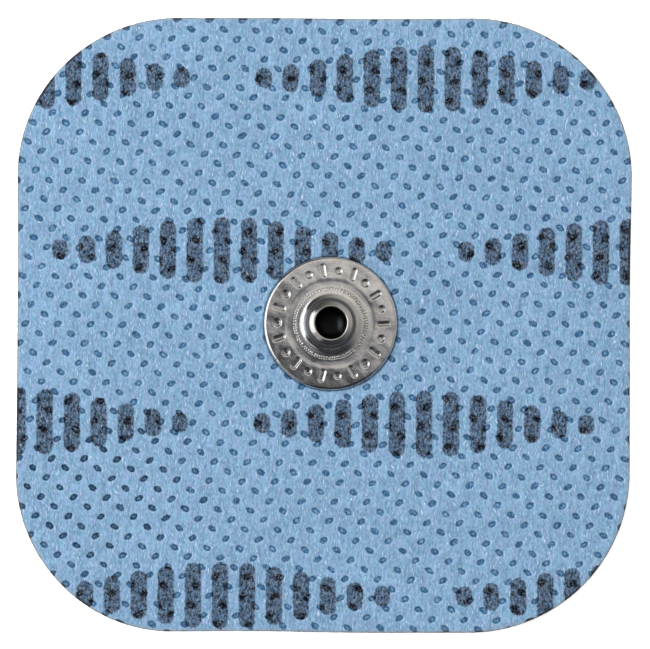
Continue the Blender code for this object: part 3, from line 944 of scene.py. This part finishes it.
def metal_base(p):
    """Grey nickel-like plate with faint stains, small scratches and an uneven polish."""
    centred = p.vector("SUBTRACT", p.place, (CX, CY, 0.0))
    x, y, z = p.split(centred)
    radius = p.vector("LENGTH", p.join(x, y, 0.0))
    angle = p.math("ARCTAN2", y, x)
    stain = p.noise(p.mapped((0.55, 0.55, 0.55)), 1.0, 3.0, 0.6)
    fleck = p.noise(p.mapped((5.5, 5.5, 5.5)), 1.0, 4.0, 0.65)
    rings = p.noise(p.join(p.mul(radius, 7.0), p.mul(angle, 0.8), p.mul(z, 7.0)), 1.0, 3.0, 0.6)
    return radius, angle, z, stain, fleck, rings


def paint_stud(obj):
    p = Paint("plated_stud", {"Metallic": 1.0, "IOR": 1.5})
    radius, angle, z, stain, fleck, rings = metal_base(p)
    base = p.colour(p.ramp(stain, 0.35, 0.65), (0.560, 0.556, 0.550), (0.655, 0.648, 0.640))
    base = p.colour(p.mul(p.ramp(fleck, 0.52, 0.72), 0.20), base, (0.38, 0.375, 0.38))
    grain = p.noise(p.mapped((8.5, 8.5, 8.5), move=(4.0, 2.0, 1.0)), 1.0, 1.0, 0.5)
    base = p.scaled(base, p.ramp(grain, 0.30, 0.70, 0.93, 1.06, "LINEAR"))
    # tool ring where the shoulder meets the flange: rough, with fine pits
    ring = p.mul(p.peak(radius, 2.86, 0.26), p.ramp(z, STUD_Z + 0.2, STUD_Z + 0.3))
    pits = p.cells(p.mapped((8.5, 8.5, 8.5)), 1.0)
    pitted = p.mul(ring, p.ramp(pits, 0.15, 0.55, 1.0, 0.0))
    base = p.colour(p.mul(pitted, 0.35), base, (0.24, 0.235, 0.23))
    # the pressed marks a little darker; painted shade round the foot of the post and under the rolled lip, and in
    # patches at the shallow dip before the flange
    pressed = p.given("pressed")
    base = p.colour(p.mul(pressed, 0.25), base, (0.26, 0.25, 0.245))
    painted_seam_shade = p.math("MAXIMUM", p.mul(p.ramp(radius, 1.72, 1.80), p.ramp(radius, 1.97, 2.26, 1.0, 0.0)),
                  p.mul(p.mul(p.peak(radius, 3.53, 0.16), p.ramp(stain, 0.40, 0.60)), 0.28))
    base = p.colour(p.mul(painted_seam_shade, 0.84), base, (0.060, 0.052, 0.046))
    p.put(p.bsdf.inputs["Base Color"], base)
    rough = p.ramp(p.add(p.mul(stain, 0.60), p.mul(fleck, 0.40)), 0.35, 0.68, 0.09, 0.21)
    rough = p.add(rough, p.add(p.mul(ring, 0.06), p.mul(painted_seam_shade, 0.25)))
    p.put(p.bsdf.inputs["Roughness"], rough)
    height = p.add(p.add(p.mul(fleck, 0.20), p.mul(rings, 0.14)), p.mul(grain, 0.04))
    height = p.sub(height, p.mul(pitted, 0.35))
    p.put(p.bsdf.inputs["Normal"], p.bump(height, 0.000026, 0.85))
    p.wear(obj)


def paint_rivet(obj):
    p = Paint("plated_rivet", {"Metallic": 1.0, "IOR": 1.5})
    radius, angle, z, stain, fleck, rings = metal_base(p)
    base = p.colour(p.ramp(stain, 0.35, 0.65), (0.470, 0.462, 0.450), (0.560, 0.550, 0.535))
    base = p.colour(p.mul(p.ramp(fleck, 0.52, 0.75), 0.30), base, (0.36, 0.345, 0.33))
    # painted highlight: a brighter ring along the crest of the lip
    painted_crest_highlight = p.mul(p.mul(p.peak(radius, 1.385, 0.075), p.ramp(z, STUD_Z + 3.25, STUD_Z + 3.38)), p.ramp(fleck, 0.35, 0.60, 0.35, 1.0))
    base = p.colour(p.mul(painted_crest_highlight, 0.55), base, (0.80, 0.79, 0.77))
    # painted shade: deep in the bore the plate is painted nearly black and less metallic, with one lighter patch as a
    # painted glint
    down = p.mul(p.ramp(z, STUD_Z + 3.26, STUD_Z + 2.95, 0.0, 1.0), p.ramp(radius, 1.30, 1.36, 1.0, 0.0))
    x, y, _ = p.split(p.vector("SUBTRACT", p.place, (CX, CY, 0.0)))
    # painted glint: a lighter patch low on the bore's right side, where the top light falls
    painted_bore_glint = p.mul(p.peak(x, 0.80, 0.34), p.peak(y, -0.08, 0.85))
    painted_bore_glint = p.mul(painted_bore_glint, p.ramp(fleck, 0.30, 0.60, 0.55, 1.0))
    base = p.colour(down, base, (0.006, 0.006, 0.006))
    base = p.colour(p.mul(painted_bore_glint, down), base, (0.190, 0.195, 0.210))
    p.put(p.bsdf.inputs["Metallic"], p.sub(1.0, p.mul(down, 0.60)))
    # painted shade: the outer edge of the rolled lip darkened
    outer = p.ramp(radius, 1.69, 1.80)
    base = p.colour(p.mul(outer, 0.85), base, (0.075, 0.066, 0.058))
    p.put(p.bsdf.inputs["Base Color"], base)
    rough = p.ramp(p.add(p.mul(stain, 0.4), p.mul(fleck, 0.6)), 0.35, 0.68, 0.14, 0.28)
    rough = p.add(rough, p.mul(down, 0.30))
    rough = p.sub(rough, p.mul(painted_crest_highlight, 0.04))
    p.put(p.bsdf.inputs["Roughness"], rough)
    height = p.add(p.mul(fleck, 0.30), p.mul(rings, 0.30))
    p.put(p.bsdf.inputs["Normal"], p.bump(height, 0.000018, 0.7))
    p.wear(obj)


# ------------------------------------------------------------------ build the pieces
cloth = make_cloth()
paint_cloth(cloth)
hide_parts("top_fabric")
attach(cloth, "root")

film = make_film()
paint_film(film)
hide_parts("carbon_film")
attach(film, "root")

gel = make_gel()
paint_gel(gel)
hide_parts("hydrogel")
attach(gel, "root")

sticker = make_sticker()
paint_sticker(sticker)
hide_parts("insulating_disc")
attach(sticker, "root")

stud = make_stud()
paint_stud(stud)
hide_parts("snap_stud")
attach(stud, "root")

rivet = make_rivet()
paint_rivet(rivet)
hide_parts("snap_eyelet")
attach(rivet, "root")


# ------------------------------------------------------------------ floor
def make_floor():
    half, count = 1500.0, 24
    verts, faces = [], []
    for j in range(count + 1):
        for i in range(count + 1):
            verts.append((-half + 2 * half * i / count, -half + 2 * half * j / count, -0.03))
    for j in range(count):
        for i in range(count):
            a = j * (count + 1) + i
            faces.append((a, a + 1, a + count + 2, a + count + 1))
    floor = new_object("floor", verts, faces)
    p = Paint("pale_floor", {"Metallic": 0.0, "Roughness": 0.7, "Specular IOR Level": 0.15,
                             "Emission Color": (1.0, 1.0, 1.0, 1.0), "Emission Strength": 0.80})
    cloud = p.noise(p.mapped((0.01, 0.01, 0.01)), 1.0, 2.0, 0.5)
    p.put(p.bsdf.inputs["Base Color"], p.colour(cloud, (0.905, 0.905, 0.905), (0.925, 0.925, 0.925)))
    p.wear(floor)


make_floor()


# ------------------------------------------------------------------ light
def area_light(name, place, target, size, power, colour=(1, 1, 1), glossy=True, diffuse=True):
    data = bpy.data.lights.new(name, "AREA")
    data.shape = "RECTANGLE"
    data.size, data.size_y = size
    data.energy = power
    data.color = colour
    obj = bpy.data.objects.new(name, data)
    obj.location = place
    obj.rotation_mode = "QUATERNION"
    obj.rotation_quaternion = (Vector(target) - Vector(place)).to_track_quat("-Z", "Y")
    obj.visible_glossy = glossy
    obj.visible_diffuse = diffuse
    bpy.context.scene.collection.objects.link(obj)
    return obj


def make_light():
    world = bpy.data.worlds.new("studio")
    bpy.context.scene.world = world
    world.use_nodes = True
    tree = world.node_tree
    tree.nodes.clear()
    out = tree.nodes.new("ShaderNodeOutputWorld")
    coords = tree.nodes.new("ShaderNodeTexCoord")
    split = tree.nodes.new("ShaderNodeSeparateXYZ")
    tree.links.new(coords.outputs["Generated"], split.inputs[0])

    def math_(op, a, b=0.0):
        n = tree.nodes.new("ShaderNodeMath")
        n.operation = op
        for s, v in zip(n.inputs, (a, b)):
            if hasattr(v, "is_output"):
                tree.links.new(v, s)
            else:
                s.default_value = v
        return n.outputs[0]

    def ramp(v, a, b, lo, hi):
        n = tree.nodes.new("ShaderNodeMapRange")
        n.interpolation_type = "SMOOTHSTEP"
        for k, val in (("Value", v), ("From Min", a), ("From Max", b), ("To Min", lo), ("To Max", hi)):
            if hasattr(val, "is_output"):
                tree.links.new(val, n.inputs[k])
            else:
                n.inputs[k].default_value = val
        return n.outputs[0]

    x, y = split.outputs[0], split.outputs[1]
    # The room is bright to the back right and dim to the front left, overhead as well as low down.
    lean = math_("SQRT", math_("ADD", math_("MULTIPLY", x, x), math_("MULTIPLY", y, y)))
    slant = math_("ADD", math_("MULTIPLY", x, 0.53), math_("MULTIPLY", y, 0.85))
    above = ramp(slant, -0.17, 0.23, 0.035, 0.92)
    low = ramp(math_("ADD", math_("MULTIPLY", x, 0.85), math_("MULTIPLY", y, 0.53)), -0.10, 1.15, 0.060, 0.66)
    far = ramp(lean, 0.40, 0.85, 0.0, 1.0)
    dim = math_("MULTIPLY", ramp(x, 0.14, 0.34, 0.0, 0.42), ramp(math_("ABSOLUTE", y), 0.08, 0.34, 1.0, 0.0))
    above = math_("MULTIPLY", above, math_("SUBTRACT", 1.0, dim))
    level = math_("ADD", math_("MULTIPLY", above, math_("SUBTRACT", 1.0, far)), math_("MULTIPLY", low, far))
    # pale walls to the left: one low down, one curving round overhead
    side = math_("MULTIPLY", ramp(math_("MULTIPLY", x, -1.0), 0.82, 0.97, 0.0, 1.0), 0.85)
    facing = math_("DIVIDE", math_("ADD", math_("MULTIPLY", x, -0.87), math_("MULTIPLY", y, -0.50)), math_("MAXIMUM", lean, 0.01))
    arc_ = math_("MULTIPLY", ramp(lean, 0.19, 0.29, 0.0, 1.0), ramp(lean, 0.34, 0.56, 1.0, 0.0))
    arc_ = math_("MULTIPLY", math_("MULTIPLY", arc_, ramp(facing, 0.62, 0.96, 0.0, 1.0)), 0.42)
    level = math_("ADD", level, math_("ADD", side, arc_))
    warm = ramp(slant, -0.25, 0.25, 0.0, 1.0)
    tint = tree.nodes.new("ShaderNodeMix")
    tint.data_type = "RGBA"
    tree.links.new(warm, tint.inputs[0])
    tint.inputs[6].default_value = (0.930, 0.970, 1.080, 1.0)
    tint.inputs[7].default_value = (1.0, 0.950, 0.890, 1.0)
    room = tree.nodes.new("ShaderNodeBackground")
    tree.links.new(tint.outputs[2], room.inputs["Color"])
    tree.links.new(level, room.inputs["Strength"])
    back = tree.nodes.new("ShaderNodeBackground")
    back.inputs["Color"].default_value = (1.0, 1.0, 1.0, 1.0)
    back.inputs["Strength"].default_value = 1.0
    path = tree.nodes.new("ShaderNodeLightPath")
    mix = tree.nodes.new("ShaderNodeMixShader")
    tree.links.new(path.outputs["Is Camera Ray"], mix.inputs[0])
    tree.links.new(room.outputs[0], mix.inputs[1])
    tree.links.new(back.outputs[0], mix.inputs[2])
    tree.links.new(mix.outputs[0], out.inputs["Surface"])

    area_light("window_left", (-0.42, 0.02, 0.25), (0, 0, 0), (0.50, 0.32), 0.80, (1.0, 0.99, 0.97))
    area_light("window_glow", (-0.36, -0.09, 0.36), (0, 0, 0), (0.80, 0.24), 0.34, (1.0, 0.99, 0.97), diffuse=False)
    area_light("wall_left", (-0.38, 0.06, 0.62), (0, 0, 0), (0.60, 0.26), 0.68, (1.0, 0.99, 0.97))
    area_light("soft_top", (-0.22, 0.16, 0.55), (0, 0, 0), (0.50, 0.50), 2.55, (1.0, 1.0, 1.0), glossy=False)


make_light()


# ------------------------------------------------------------------ camera
def make_camera():
    data = bpy.data.cameras.new("camera")
    data.sensor_width = 36.0
    wide = 650 / 12.274 * MM               # what the frame's width shows at the cloth
    far = 0.900
    data.lens = 36.0 * far / wide
    data.clip_start, data.clip_end = 0.01, 10.0
    cam = bpy.data.objects.new("camera", data)
    turn = math.radians(0.312)
    # the frame's middle, from the pad's middle, in the picture's own directions
    dx, dy = (324.5 - 323.41) / 12.274, -(324.0 - 324.51) / 12.274
    x = dx * math.cos(turn) - dy * math.sin(turn)
    y = dx * math.sin(turn) + dy * math.cos(turn)
    # it looks down from a little to the left and in front
    target = Vector((x * MM, y * MM, CLOTH_TOP * MM))
    look = -Vector((-0.0140, -0.0140, 1.0)).normalized()
    right = look.cross(Vector((-math.sin(turn), math.cos(turn), 0.0))).normalized()
    up = right.cross(look)
    cam.location = target - look * far
    cam.rotation_mode = "QUATERNION"
    cam.rotation_quaternion = Matrix((right, up, -look)).transposed().to_quaternion()
    bpy.context.scene.collection.objects.link(cam)
    bpy.context.scene.camera = cam


make_camera()

scene = bpy.context.scene
scene.view_settings.view_transform = "Standard"
scene.view_settings.look = "None"
scene.view_settings.exposure = 0.0
scene.view_settings.gamma = 1.0
